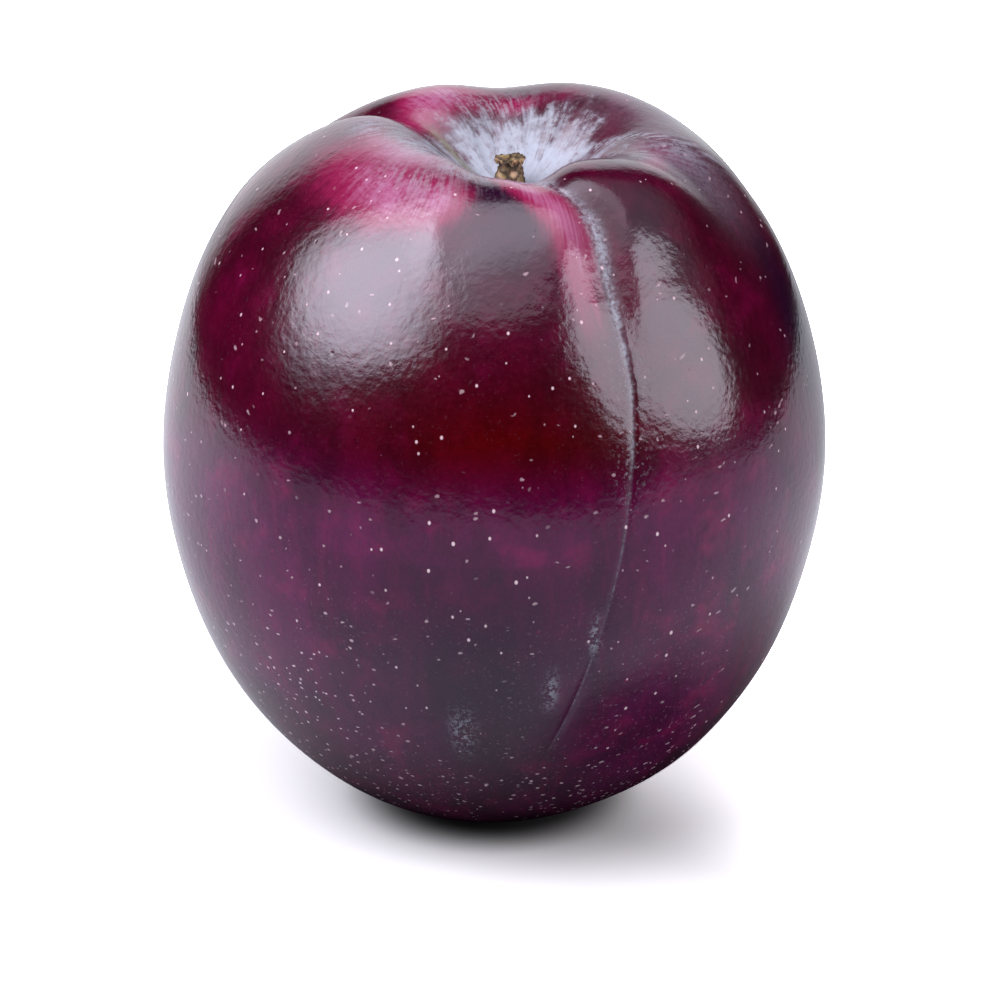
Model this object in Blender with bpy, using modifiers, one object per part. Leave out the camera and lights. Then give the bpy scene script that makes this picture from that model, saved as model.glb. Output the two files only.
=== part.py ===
"""A ripe round plum that stands on its base, with the broken stub of its stem in the hollow on top.

Two solids: the fruit, grown as one piece, and the woody stem stub seated in a socket in the fruit.
Frame: metres, +Z up the fruit, -Y towards the suture, origin in the middle of the foot that it rests on.
Azimuths are in degrees, counted from the suture towards +X. The fruit is a sphere whose points are
carried onto the plum's own skin, and the stub is a turned profile.
"""

import math
from typing import NamedTuple

import bmesh
import bpy
from mathutils import Vector

MM = 0.001

# Body: an upper and a lower half ellipsoid that meet at the belly.
BELLY_RADIUS = 28.0 * MM
BELLY_HEIGHT = 32.4 * MM
UPPER_RISE = 33.8 * MM
LOWER_DROP = 33.2 * MM  # a little more than BELLY_HEIGHT, so that the foot is cut flat at z = 0

# Hollow round the stem: a narrow funnel in a broad, shallow crown.
FUNNEL_DEPTH = 8.3 * MM
FUNNEL_RADIUS = 7.8 * MM
CROWN_DEPTH = 2.5 * MM
CROWN_RADIUS = 14.8 * MM

# The stem end leans sideways over the last stretch below the top.
STEM_LEAN = Vector((0.9 * MM, -1.3 * MM, 0.0))
LEAN_START = 53.0 * MM
LEAN_END = 62.0 * MM

# Stem stub and the socket that it is seated in.
STUB_LENGTH = 5.0 * MM
STUB_FOOT_RADIUS = 1.4 * MM
STUB_NECK_RADIUS = 1.3 * MM
STUB_HEAD_RADIUS = 1.55 * MM
SOCKET_DEPTH = 2.5 * MM
FIT_GAP = 0.3 * MM

# How finely the solids are faceted.
FRUIT_COLUMNS = 84
FRUIT_ROWS = 44
ROW_CROWDING = 0.45  # draws rows towards the stem, where the shape changes fastest
COLUMN_CROWDING = 0.4  # draws columns towards the suture
STUB_COLUMNS = 24


class Furrow(NamedTuple):
    """A valley that runs down the skin from the stem hollow."""

    azimuth: float  # degrees from the suture
    depth: float
    half_width: float
    reach: float  # distance from the axis at which it has half faded out
    sharpness: int  # 2 for a rounded valley, 4 for one with a broad floor


FURROWS = (
    Furrow(0.0, 0.8 * MM, 2.2 * MM, 24.0 * MM, 2),  # the suture
    Furrow(-27.7, 2.1 * MM, 4.1 * MM, 13.9 * MM, 4),  # the low saddle beside the suture
    Furrow(48.8, 2.1 * MM, 3.9 * MM, 19.7 * MM, 2),
    Furrow(157.8, 1.45 * MM, 4.0 * MM, 15.4 * MM, 2),
    Furrow(-145.7, 2.1 * MM, 2.1 * MM, 17.8 * MM, 2),
)
FURROW_START = 5.0 * MM  # furrows fade in at about this distance from the stem
FURROW_FADE = 0.12  # softness of a furrow's lower end, in radians of polar angle
FURROW_SPREAD = 60.0  # degrees to each side over which a furrow is at full strength

# The shoulder on this side is lower than the rest.
LOW_SHOULDER_AZIMUTH = 79.6
LOW_SHOULDER_DROP = 1.25 * MM
LOW_SHOULDER_SPREAD = 21.6  # degrees
SHOULDER_RADIUS = 17.0 * MM

SKIN_COLOUR = (0.055, 0.002, 0.014, 1.0)
STUB_COLOUR = (0.36, 0.20, 0.09, 1.0)


def smooth_step(low, high, value):
    """0 below low, 1 above high and a smooth rise between them."""
    share = min(max((value - low) / (high - low), 0.0), 1.0)
    return share * share * (3.0 - 2.0 * share)


def bell(value, width, power=2):
    """1 at 0, falling away to nothing on both sides."""
    return math.exp(-(abs(value / width) ** power))


def turn_between(azimuth, centre):
    """The signed angle in radians from centre, in degrees, to azimuth, in radians."""
    return math.remainder(azimuth - math.radians(centre), math.tau)


def body_point(polar):
    """(distance from the axis, height) on the plain ellipsoids, from 0 at the stem to pi at the base."""
    rise = UPPER_RISE if polar < math.pi / 2 else LOWER_DROP
    return BELLY_RADIUS * math.sin(polar), BELLY_HEIGHT + rise * math.cos(polar)


def hollow_depth(radius):
    """How far the stem hollow lies below the ellipsoid at this distance from the axis."""
    return FUNNEL_DEPTH * bell(radius, FUNNEL_RADIUS) + CROWN_DEPTH * bell(radius, CROWN_RADIUS)


def furrow_depth(furrow, polar, azimuth, radius):
    """How deep one furrow is at a point of the skin."""
    turn = turn_between(azimuth, furrow.azimuth)
    across = radius * math.sin(turn)
    near_side = smooth_step(0.0, math.cos(math.radians(FURROW_SPREAD)), math.cos(turn))
    end = math.asin(furrow.reach / BELLY_RADIUS)
    fade_out = 1.0 / (1.0 + math.exp((polar - end) / FURROW_FADE))
    return furrow.depth * bell(across, furrow.half_width, furrow.sharpness) * fade_out * near_side


def sunk_depth(polar, azimuth, radius):
    """How far the furrows and the low shoulder sink the skin along its normal."""
    turn = math.degrees(turn_between(azimuth, LOW_SHOULDER_AZIMUTH))
    shoulder = LOW_SHOULDER_DROP * bell(turn, LOW_SHOULDER_SPREAD) * bell(radius, SHOULDER_RADIUS, 4)
    valleys = sum(furrow_depth(furrow, polar, azimuth, radius) for furrow in FURROWS)
    return (valleys + shoulder) * (1.0 - bell(radius, FURROW_START))


def skin_point(polar, azimuth):
    """The point of the plum's skin in this direction from its middle."""
    radius, body_height = body_point(polar)
    normal = Vector((math.sin(polar) / BELLY_RADIUS, math.cos(polar) / UPPER_RISE)).normalized()
    sunk = sunk_depth(polar, azimuth, radius)
    out = radius - sunk * normal.x
    height = body_height - sunk * normal.y
    if polar < math.pi / 2:
        height -= hollow_depth(radius)
    lean = STEM_LEAN * smooth_step(LEAN_START, LEAN_END, body_height - sunk * normal.y)
    return Vector((out * math.sin(azimuth), -out * math.cos(azimuth), height)) + lean


def material(name, colour, roughness):
    """A plain Principled material."""
    made = bpy.data.materials.new(name)
    made.use_nodes = True
    shader = made.node_tree.nodes["Principled BSDF"]
    shader.inputs["Base Color"].default_value = colour
    shader.inputs["Roughness"].default_value = roughness
    shader.inputs["Metallic"].default_value = 0.0
    return made


def object_from(name, mesh, collection):
    """Links a mesh into a collection as an object."""
    made = bpy.data.objects.new(name, mesh)
    collection.objects.link(made)
    return made


def cut_foot(shape):
    """Cuts the shape flat at z = 0 and closes the cut."""
    geometry = shape.verts[:] + shape.edges[:] + shape.faces[:]
    cut = bmesh.ops.bisect_plane(shape, geom=geometry, plane_co=(0, 0, 0), plane_no=(0, 0, 1), clear_inner=True)
    rim = [item for item in cut["geom_cut"] if isinstance(item, bmesh.types.BMEdge)]
    bmesh.ops.contextual_create(shape, geom=rim)
    for edge in rim:
        edge.smooth = False


def make_fruit(collection):
    """The whole fruit: skin, hollow, furrows and flat foot, as one solid."""
    shape = bmesh.new()
    bmesh.ops.create_uvsphere(shape, u_segments=FRUIT_COLUMNS, v_segments=FRUIT_ROWS, radius=1.0)
    for vert in shape.verts:
        step = math.acos(max(-1.0, min(1.0, vert.co.z)))
        turn = math.atan2(vert.co.x, -vert.co.y)
        polar = step - ROW_CROWDING * math.sin(step)
        azimuth = turn - COLUMN_CROWDING * math.sin(turn)
        vert.co = skin_point(polar, azimuth)
    cut_foot(shape)
    bmesh.ops.recalc_face_normals(shape, faces=shape.faces)
    mesh = bpy.data.meshes.new("fruit")
    shape.to_mesh(mesh)
    shape.free()
    mesh.shade_smooth()
    return object_from("fruit", mesh, collection)


def cut_socket(fruit, hollow_floor, cutters):
    """Bores the round socket that the stub's foot is seated in."""
    clearance = 1.5 * MM  # the cutter stands clear of the hollow's floor
    bpy.ops.mesh.primitive_cylinder_add(
        vertices=STUB_COLUMNS,
        radius=STUB_FOOT_RADIUS + FIT_GAP,
        depth=SOCKET_DEPTH + clearance,
        location=hollow_floor + Vector((0, 0, (clearance - SOCKET_DEPTH) / 2)),
    )
    cutter = bpy.context.object
    cutter.name = "socket_cutter"
    for owner in cutter.users_collection:
        owner.objects.unlink(cutter)
    cutters.objects.link(cutter)
    cutter.hide_render = True
    cutter.display_type = "WIRE"
    bore = fruit.modifiers.new("socket", "BOOLEAN")
    bore.operation = "DIFFERENCE"
    bore.solver = "EXACT"
    bore.object = cutter


def stub_profile():
    """(radius, height) points of the stub from the crown of its head down to its foot, for the Screw."""
    head = STUB_HEAD_RADIUS
    shoulder = STUB_LENGTH - head * 0.6
    dome_steps = 6
    dome = [
        (head * math.sin(turn), shoulder + head * 0.6 * math.cos(turn))
        for turn in (math.pi / 2 * step / dome_steps for step in range(dome_steps + 1))
    ]
    neck = [(STUB_NECK_RADIUS, shoulder - 0.8 * MM), (STUB_NECK_RADIUS, SOCKET_DEPTH)]
    foot = [(STUB_FOOT_RADIUS, SOCKET_DEPTH - 0.6 * MM), (STUB_FOOT_RADIUS, 0.0), (0.0, 0.0)]
    return dome + neck + foot


def make_stub(hollow_floor, collection):
    """The woody stem stub, a turned profile whose foot stands in the socket."""
    points = [Vector((radius, 0.0, height)) for radius, height in stub_profile()]
    edges = [(index, index + 1) for index in range(len(points) - 1)]
    mesh = bpy.data.meshes.new("stem_stub")
    mesh.from_pydata(points, edges, [])
    stub = object_from("stem_stub", mesh, collection)
    stub.location = hollow_floor + Vector((0, 0, FIT_GAP - SOCKET_DEPTH))
    turned = stub.modifiers.new("turned", "SCREW")
    turned.steps = STUB_COLUMNS
    turned.render_steps = STUB_COLUMNS
    turned.use_merge_vertices = True
    turned.merge_threshold = 0.00001
    turned.use_smooth_shade = True
    return stub


def clear_scene():
    """Empties the scene that the script starts in."""
    for obj in list(bpy.data.objects):
        bpy.data.objects.remove(obj)


def new_collection(name):
    """A collection linked under the scene."""
    made = bpy.data.collections.new(name)
    bpy.context.scene.collection.children.link(made)
    return made


def main():
    """Builds the plum."""
    clear_scene()
    plum = new_collection("plum")
    cutters = new_collection("cutters")
    hollow_floor = skin_point(0.0, 0.0)
    fruit = make_fruit(plum)
    fruit.data.materials.append(material("plum_skin", SKIN_COLOUR, 0.25))
    cut_socket(fruit, hollow_floor, cutters)
    stub = make_stub(hollow_floor, plum)
    stub.data.materials.append(material("stem_wood", STUB_COLOUR, 0.8))


main()
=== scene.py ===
"""The finished look of a ripe dark-red plum that stands on its base.

The fruit and the stub of its stem take the place of the two plain solids of the frame and fill the same
box. Lengths are in millimetres until a mesh is finished, when it is brought to metres. A place on the
skin is given by its polar angle, 0 at the stem and 180 degrees at the base, and by its azimuth, counted
from the suture towards +X.
"""

from __future__ import annotations

import logging
import math
from dataclasses import dataclass
from enum import Enum
from typing import Any

import bmesh
import bpy
import numpy as np
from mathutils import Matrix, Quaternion, Vector, noise

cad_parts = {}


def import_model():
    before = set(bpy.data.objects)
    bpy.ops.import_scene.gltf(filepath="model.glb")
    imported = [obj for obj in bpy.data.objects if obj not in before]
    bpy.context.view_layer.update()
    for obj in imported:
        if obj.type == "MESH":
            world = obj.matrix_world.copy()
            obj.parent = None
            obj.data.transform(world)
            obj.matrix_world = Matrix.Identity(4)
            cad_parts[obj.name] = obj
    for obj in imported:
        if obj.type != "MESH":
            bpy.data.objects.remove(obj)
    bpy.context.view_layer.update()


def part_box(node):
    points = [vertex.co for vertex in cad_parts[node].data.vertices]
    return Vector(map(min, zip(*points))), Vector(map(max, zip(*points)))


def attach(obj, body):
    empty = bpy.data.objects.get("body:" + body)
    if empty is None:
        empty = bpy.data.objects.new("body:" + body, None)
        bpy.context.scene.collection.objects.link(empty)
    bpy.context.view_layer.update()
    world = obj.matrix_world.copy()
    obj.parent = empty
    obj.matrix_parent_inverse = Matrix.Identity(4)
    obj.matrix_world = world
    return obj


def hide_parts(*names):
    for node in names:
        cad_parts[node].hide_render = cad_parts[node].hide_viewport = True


MM = 0.001
Colour = tuple[float, float, float]
Span = tuple[float, float]
Stretch = tuple[float, float, float]
Array = np.ndarray
log = logging.getLogger("plum")


class Body(Enum):
    """The frame's moving bodies."""

    WHOLE = "root"


class Slot(Enum):
    """Names of the record's material slots, which this script doesn't use."""

    SKIN = "plum_skin"
    STEM = "stem_wood"


class Layer(Enum):
    """What is known at each point of a surface, kept as an attribute of the mesh."""

    POLAR = "polar"
    RADIUS = "radius"
    SUTURE = "suture"
    BLUSH = "blush"
    BANK = "bank"
    # painted shade: how far the skin's colour is darkened to stand in for shade
    PAINTED_SHADE = "shade"
    WARMTH = "warmth"
    GRIT = "grit"
    BLOOM = "bloom"
    # haze: a whitish film in places, and painted sheen that stands in for a reflection in others
    HAZE_AND_PAINTED_SHEEN = "haze"
    CREASE = "hollow_crease"
    FLOW = "flow"
    # how far a point of the stem is from a crack, which lays painted shade into the cracks
    PAINTED_CRACK_SHADE = "crevice"


# ---------------------------------------------------------------------------------------------------
# Shader arithmetic
# ---------------------------------------------------------------------------------------------------


class Field:
    """A number, vector or colour that varies over a surface, held as a node's output socket."""

    def __init__(self, graph: Graph, socket: bpy.types.NodeSocket) -> None:
        """Wraps one output socket of a node in graph."""
        self.graph = graph
        self.socket = socket

    @property
    def is_vector(self) -> bool:
        """Whether the socket carries a vector or a colour, which Vector Math has to handle."""
        return self.socket.type in ("VECTOR", "RGBA")

    def _combine(self, operation: str, first: Any, second: Any) -> Field:
        """Adds the Math or Vector Math node for first and second, by the kind of this field."""
        add = self.graph.vector_math if self.is_vector else self.graph.math
        return add(operation, first, second)

    def __add__(self, other: Any) -> Field:
        """self + other."""
        return self._combine("ADD", self, other)

    def __radd__(self, other: Any) -> Field:
        """other + self."""
        return self._combine("ADD", other, self)

    def __sub__(self, other: Any) -> Field:
        """self - other."""
        return self._combine("SUBTRACT", self, other)

    def __rsub__(self, other: Any) -> Field:
        """other - self."""
        return self._combine("SUBTRACT", other, self)

    def __mul__(self, other: Any) -> Field:
        """self * other."""
        return self._combine("MULTIPLY", self, other)

    def __rmul__(self, other: Any) -> Field:
        """other * self."""
        return self._combine("MULTIPLY", other, self)

    def __truediv__(self, other: Any) -> Field:
        """self / other."""
        return self._combine("DIVIDE", self, other)

    def __rtruediv__(self, other: Any) -> Field:
        """other / self."""
        return self._combine("DIVIDE", other, self)

    def __pow__(self, power: Any) -> Field:
        """self to a power."""
        return self.graph.math("POWER", self, power)

    def lower_of(self, other: Any) -> Field:
        """The smaller of self and other."""
        return self.graph.math("MINIMUM", self, other)

    def higher_of(self, other: Any) -> Field:
        """The larger of self and other."""
        return self.graph.math("MAXIMUM", self, other)

    def rising(self, low: Any, high: Any) -> Field:
        """A smooth rise from 0, where self is low, to 1, where it is high.

        Args:
            low: where the rise starts, a number or a field.
            high: where it ends, a number or a field.

        Returns:
            The field, from 0 to 1.
        """
        settings = {"interpolation_type": "SMOOTHSTEP", "clamp": True}
        inputs = {"Value": self, "From Min": low, "From Max": high, "To Min": 0.0, "To Max": 1.0}
        return self.graph.field("ShaderNodeMapRange", "Result", settings, inputs)

    def falling(self, low: Any, high: Any) -> Field:
        """1 minus rising."""
        return 1.0 - self.rising(low, high)

    def between(self, low: float, high: float) -> Field:
        """low where self is 0, high where it is 1."""
        return low + (high - low) * self

    def bell(self, width: Any) -> Field:
        """1 where self is 0, falling away to nothing on both sides over about width."""
        ratio = self / width
        return math.e ** (-1.0 * ratio * ratio)

    def __rpow__(self, base: float) -> Field:
        """base to the power of self."""
        return self.graph.math("POWER", base, self)


@dataclass(frozen=True)
class Texture:
    """Cloudy noise: how far apart its light patches are, and how strong its finer octaves are.

    Its stretch multiplies the place it is read at, and its span is the part that is brought to 0 to 1.
    """

    size: float
    detail: float = 2.0
    roughness: float = 0.5
    stretch: Stretch | None = None
    span: Span | None = None


@dataclass(frozen=True)
class Strokes:
    """Noise drawn out down the skin, from the stem to the base."""

    round_stem: float
    down: float
    scatter: float = 0.0

    def read(self, graph: Graph, flow: Field, place: Field) -> Field:
        """The strokes at each point.

        Args:
            graph: the material's nodes.
            flow: the direction round the stem and the distance down the skin.
            place: the point of the fruit, which breaks the strokes up by the amount of scatter.

        Returns:
            The field, about 0.5 on average.
        """
        along = flow * (self.round_stem, self.round_stem, self.down)
        if self.scatter:
            along = along + place * self.scatter
        return graph.grain(along, Texture(1.0, 3.0, 0.6))


class Graph:
    """The node tree of a material or a world."""

    def __init__(self, owner: bpy.types.Material | bpy.types.World) -> None:
        """Starts owner's node tree afresh."""
        owner.use_nodes = True
        self.tree = owner.node_tree
        self.tree.nodes.clear()

    def node(self, kind: str, settings: dict[str, Any] | None = None,
             inputs: dict[str | int, Any] | None = None) -> bpy.types.Node:
        """Adds a node.

        Args:
            kind: the node's type.
            settings: its properties, set before its inputs.
            inputs: a value, a field or a socket for each of its sockets, by name or number.

        Returns:
            The node.
        """
        made = self.tree.nodes.new(kind)
        for name, value in (settings or {}).items():
            setattr(made, name, value)
        for name, value in (inputs or {}).items():
            self._feed(made.inputs[name], value)
        return made

    def _feed(self, socket: bpy.types.NodeSocket, value: Any) -> None:
        """Links a field or a socket to an input, or sets the input's own value."""
        if isinstance(value, Field):
            self.tree.links.new(value.socket, socket)
        elif isinstance(value, bpy.types.NodeSocket):
            self.tree.links.new(value, socket)
        elif socket.type == "RGBA":
            socket.default_value = (*value[:3], 1.0)
        else:
            socket.default_value = value

    def field(self, kind: str, output: str | int, settings: dict[str, Any] | None = None,
              inputs: dict[str | int, Any] | None = None) -> Field:
        """Adds a node and returns one of its outputs as a field."""
        return Field(self, self.node(kind, settings, inputs).outputs[output])

    def math(self, operation: str, *values: Any) -> Field:
        """Adds a Math node."""
        return self.field("ShaderNodeMath", 0, {"operation": operation}, dict(enumerate(values)))

    def vector_math(self, operation: str, *values: Any) -> Field:
        """Adds a Vector Math node; a plain number counts for all three axes."""
        full = [(value,) * 3 if isinstance(value, (int, float)) else value for value in values]
        return self.field("ShaderNodeVectorMath", 0, {"operation": operation}, dict(enumerate(full)))

    def measure(self, operation: str, *values: Any) -> Field:
        """Adds a Vector Math node that gives a number: a length, a distance or a dot product."""
        inputs = dict(enumerate(values))
        return self.field("ShaderNodeVectorMath", "Value", {"operation": operation}, inputs)

    def mix(self, share: Any, first: Any, second: Any) -> Field:
        """The colour that goes from first to second as share goes from 0 to 1."""
        settings = {"data_type": "RGBA", "clamp_factor": True}
        return self.field("ShaderNodeMix", 2, settings, {0: share, 6: first, 7: second})

    def layer(self, layer: Layer, output: str = "Fac") -> Field:
        """Reads an attribute of the mesh."""
        return self.field("ShaderNodeAttribute", output, {"attribute_name": layer.value})

    def place(self) -> Field:
        """The point of the object, in millimetres."""
        return self.field("ShaderNodeTexCoord", "Object") * (1.0 / MM)

    def grain(self, place: Field, texture: Texture) -> Field:
        """Cloudy noise.

        Args:
            place: where it is read.
            texture: what it is like.

        Returns:
            The field, about 0.5 on average and mostly from 0.25 to 0.75, or from 0 to 1 where the texture
            has a span.
        """
        if texture.stretch:
            place = place * texture.stretch
        inputs = {"Vector": place, "Scale": 1.0 / texture.size, "Detail": texture.detail,
                  "Roughness": texture.roughness}
        noise_field = self.field("ShaderNodeTexNoise", 0, {"noise_dimensions": "3D"}, inputs)
        return noise_field.rising(*texture.span) if texture.span else noise_field

    def cells(self, place: Field, size: float) -> tuple[Field, Field]:
        """Scattered points.

        Args:
            place: where they are read.
            size: about how far apart the points are, in place's units.

        Returns:
            The distance to the nearest point, in place's units, and a random number for that point.
        """
        node = self.node("ShaderNodeTexVoronoi", {"feature": "F1"}, {"Vector": place, "Scale": 1.0 / size})
        split = self.field("ShaderNodeSeparateColor", 0, {}, {0: node.outputs["Color"]})
        return Field(self, node.outputs["Distance"]) * size, split


# ---------------------------------------------------------------------------------------------------
# Helpers for shapes
# ---------------------------------------------------------------------------------------------------


def smooth_step(low: float, high: float, value: Array) -> Array:
    """0 below low, 1 above high and a smooth rise between them."""
    share = np.clip((value - low) / (high - low), 0.0, 1.0)
    return share * share * (3.0 - 2.0 * share)


def bell(value: Array, width: float, power: float = 2.0) -> Array:
    """1 at 0, falling away to nothing on both sides."""
    return np.exp(-(np.abs(value / width) ** power))


def turn_between(azimuth: Array, centre: float) -> Array:
    """The signed angle in radians from centre, in degrees, to azimuth, in radians."""
    return (azimuth - math.radians(centre) + math.pi) % math.tau - math.pi


def read_points(mesh: bpy.types.Mesh) -> Array:
    """The vertices of a mesh, one row each."""
    flat = np.empty(len(mesh.vertices) * 3, np.float32)
    mesh.vertices.foreach_get("co", flat)
    return flat.reshape(-1, 3).astype(float)


def write_points(mesh: bpy.types.Mesh, points: Array) -> None:
    """Moves the vertices of a mesh."""
    mesh.vertices.foreach_set("co", points.astype(np.float32).ravel())
    mesh.update()


def write_layer(mesh: bpy.types.Mesh, layer: Layer, values: Array) -> None:
    """Stores one number or one vector for each vertex.

    Args:
        mesh: the mesh that gets the attribute.
        layer: the attribute.
        values: one number a vertex, or three.
    """
    is_vector = values.ndim == 2
    kind = "FLOAT_VECTOR" if is_vector else "FLOAT"
    attribute = mesh.attributes.new(layer.value, kind, "POINT")
    attribute.data.foreach_set("vector" if is_vector else "value", values.astype(np.float32).ravel())


def show(name: str, mesh: bpy.types.Mesh) -> bpy.types.Object:
    """Adds a mesh to the scene as an object at the origin."""
    piece = bpy.data.objects.new(name, mesh)
    bpy.context.scene.collection.objects.link(piece)
    return piece


def report(piece: bpy.types.Object) -> None:
    """Logs what a finished piece holds."""
    faces = len(piece.data.polygons)
    log.info("%s: %d faces, %s", piece.name, faces, piece.data.materials[0].name)


# ---------------------------------------------------------------------------------------------------
# Fruit
# ---------------------------------------------------------------------------------------------------


@dataclass(frozen=True)
class Furrow:
    """A valley that runs down the skin from the stem hollow."""

    azimuth: float
    depth: float
    half_width: float
    reach: float
    sharpness: float = 2.0
    full_spread: float = 60.0
    fade: float = 0.12

    def depth_at(self, polar: Array, azimuth: Array, radius: Array, belly: float) -> Array:
        """How deep it is at points of the skin.

        Args:
            polar: polar angles.
            azimuth: azimuths, in radians.
            radius: distances from the axis.
            belly: the fruit's largest radius.

        Returns:
            The depth at each point.
        """
        turn = turn_between(azimuth, self.azimuth)
        across = radius * np.sin(turn)
        near_side = smooth_step(0.0, math.cos(math.radians(self.full_spread)), np.cos(turn))
        end = math.asin(self.reach / belly)
        fade_out = 1.0 / (1.0 + np.exp((polar - end) / self.fade))
        return self.depth * bell(across, self.half_width, self.sharpness) * fade_out * near_side


@dataclass(frozen=True)
class Patch:
    """A soft-edged patch of the skin.

    On the crown its level is a distance from the axis; lower down it is a height over the foot.
    """

    azimuth: float
    level: float
    azimuth_spread: float
    level_spread: float
    strength: float

    def strength_at(self, azimuth: Array, level: Array) -> Array:
        """How strong it is at points of the skin."""
        turn = np.degrees(turn_between(azimuth, self.azimuth))
        return self.strength * bell(turn, self.azimuth_spread) * bell(level - self.level, self.level_spread)


def strongest(patches: tuple[Patch, ...], azimuth: Array, level: Array) -> Array:
    """The strongest of some patches at each point."""
    return np.maximum.reduce([patch.strength_at(azimuth, level) for patch in patches])


def together(patches: tuple[Patch, ...], azimuth: Array, level: Array) -> Array:
    """The sum of some patches at each point."""
    return sum(patch.strength_at(azimuth, level) for patch in patches)


@dataclass(frozen=True)
class SkinFinish:
    """Waxed dark-red skin with blush, bloom and pale dots, with painted shade and painted sheen laid over
    them.

    A span that is read with rising or falling is where a change starts and ends; one that is read with
    between is the value before and after it. Sizes, spacings and heights are in millimetres.
    """

    deep_red: Colour = (0.062, 0.0001, 0.001)
    wine: Colour = (0.056, 0.0003, 0.011)
    low_purple: Colour = (0.082, 0.0006, 0.047)
    # the colour of the painted shade
    painted_shade_colour: Colour = (0.016, 0.001, 0.014)
    magenta: Colour = (0.28, 0.003, 0.082)
    rose: Colour = (0.24, 0.010, 0.062)
    pale_rose: Colour = (0.46, 0.17, 0.33)
    bloom: Colour = (0.36, 0.37, 0.46)
    # the colour of the haze and of the painted sheen
    haze: Colour = (0.32, 0.27, 0.38)
    dust: Colour = (0.42, 0.24, 0.38)
    dot: Colour = (0.76, 0.50, 0.60)
    low_dot: Colour = (0.95, 0.70, 0.80)
    olive: Colour = (0.17, 0.15, 0.09)
    scar: Colour = (0.16, 0.09, 0.04)
    sheen_tint: Colour = (0.85, 0.86, 1.0)
    refraction: float = 1.75
    shine: float = 0.16
    uneven_shine: float = 0.10
    bloom_roughness: float = 0.5
    dot_roughness: float = 0.25
    # where things start and end, in degrees of polar angle unless they are radii
    lower_half: Span = (72.0, 88.0)
    belly: Span = (72.0, 104.0)
    crown_end: Span = (80.0, 90.0)
    scar_radius: Span = (0.4, 0.9)
    scar_start: Span = (150.0, 170.0)
    # ground
    fine: Texture = Texture(0.42, 3.0, 0.65)
    clouds: Texture = Texture(13.0, 3.0, 0.6)
    mottle: Texture = Texture(3.6, 3.0, 0.58)
    drift: Texture = Texture(5.5, 3.0, 0.65, stretch=(1.0, 1.0, 0.55), span=(0.32, 0.68))
    warmth_breakup: Span = (0.50, 1.60)
    warm_calm: float = 0.8
    low_purple_share: float = 0.92
    mottle_shading: Span = (0.45, 1.00)
    fine_shading: Span = (0.66, 1.34)
    spot_span: Span = (0.48, 0.82)
    spot_share: Span = (0.22, 0.58)
    ground_streaks: Strokes = Strokes(26.0, 0.16)
    streak_span: Span = (0.50, 0.74)
    streak_share: float = 0.20
    halo_spacing: float = 4.6
    halo_wander: float = 4.0
    halo_core: float = 0.02
    halo_edge: Span = (0.22, 0.46)
    halo_luck: Span = (0.40, 0.60)
    halo_share: Span = (0.14, 0.76)
    # blush, and haze with painted sheen
    stipple: Texture = Texture(1.7, 4.0, 0.7)
    blush_streaks: Strokes = Strokes(60.0, 0.20, 0.45)
    blush_weights: tuple[float, ...] = (0.85, 0.80, 0.50, -0.14)
    blush_span: Span = (0.12, 0.85)
    pale_blush_span: Span = (0.70, 1.45)
    pale_blush_share: float = 0.68
    bank_weights: tuple[float, ...] = (1.25, 0.30, 0.30)
    bank_span: Span = (0.15, 0.75)
    pale_bank_span: Span = (0.70, 1.20)
    pale_bank_share: float = 0.50
    haze_and_sheen_breakup: Span = (0.35, 1.45)
    most_haze_and_sheen: float = 0.9
    olive_breakup: Span = (0.4, 1.4)
    # dust
    dust_grains: Texture = Texture(0.30, 2.0, 0.6, span=(0.60, 0.74))
    dust_drift: Texture = Texture(8.0, 3.0, 0.6, span=(0.36, 0.66))
    dust_share: Span = (0.05, 0.53)
    dusty_from: Span = (84.0, 125.0)
    # bloom
    rays: Strokes = Strokes(5.0, 0.10, 0.20)
    fine_rays: Strokes = Strokes(30.0, 0.30, 0.8)
    blotches: Texture = Texture(1.5, 4.0, 0.7)
    speckle: Texture = Texture(0.34, 2.0, 0.7)
    hollow_bloom_radius: float = 8.6
    hollow_bloom_swing: tuple[float, float] = (9.0, 5.0)
    hollow_bloom_fade: Span = (-5.0, 2.6)
    hollow_weights: tuple[float, ...] = (0.7, 0.7, 0.3)
    hollow_bare: Span = (0.85, 0.40)
    hollow_full: Span = (1.35, 0.90)
    hollow_cover: Span = (0.0, 0.40)
    hollow_thickness: Span = (0.34, 1.00)
    hollow_breakup: Span = (0.22, 1.02)
    flake_weights: tuple[float, float] = (0.55, 0.65)
    flake_span: Span = (0.47, 0.54)
    brushed_span: Span = (0.43, 0.57)
    suture_widths: tuple[float, ...] = (0.10, 0.58, 0.08)
    upper_suture: Span = (30.0, 76.0)
    middle_suture: Span = (70.0, 100.0)
    suture_bloom_end: Span = (116.0, 129.0)
    suture_fade: Span = (62.0, 88.0)
    suture_strength: Span = (0.24, 0.60)
    suture_speckle: Span = (0.38, 0.62)
    suture_breakup: Span = (0.42, 1.27)
    gaps: Texture = Texture(2.2, 3.0, 0.7, stretch=(0.5, 0.5, 1.0), span=(0.32, 0.58))
    gap_breakup: Span = (0.25, 1.00)
    crust_width: float = 1.5
    crust_span: Span = (0.56, 0.66)
    crust_start: Span = (52.0, 68.0)
    crust_end: Span = (76.0, 90.0)
    crust_share: float = 0.28
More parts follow.
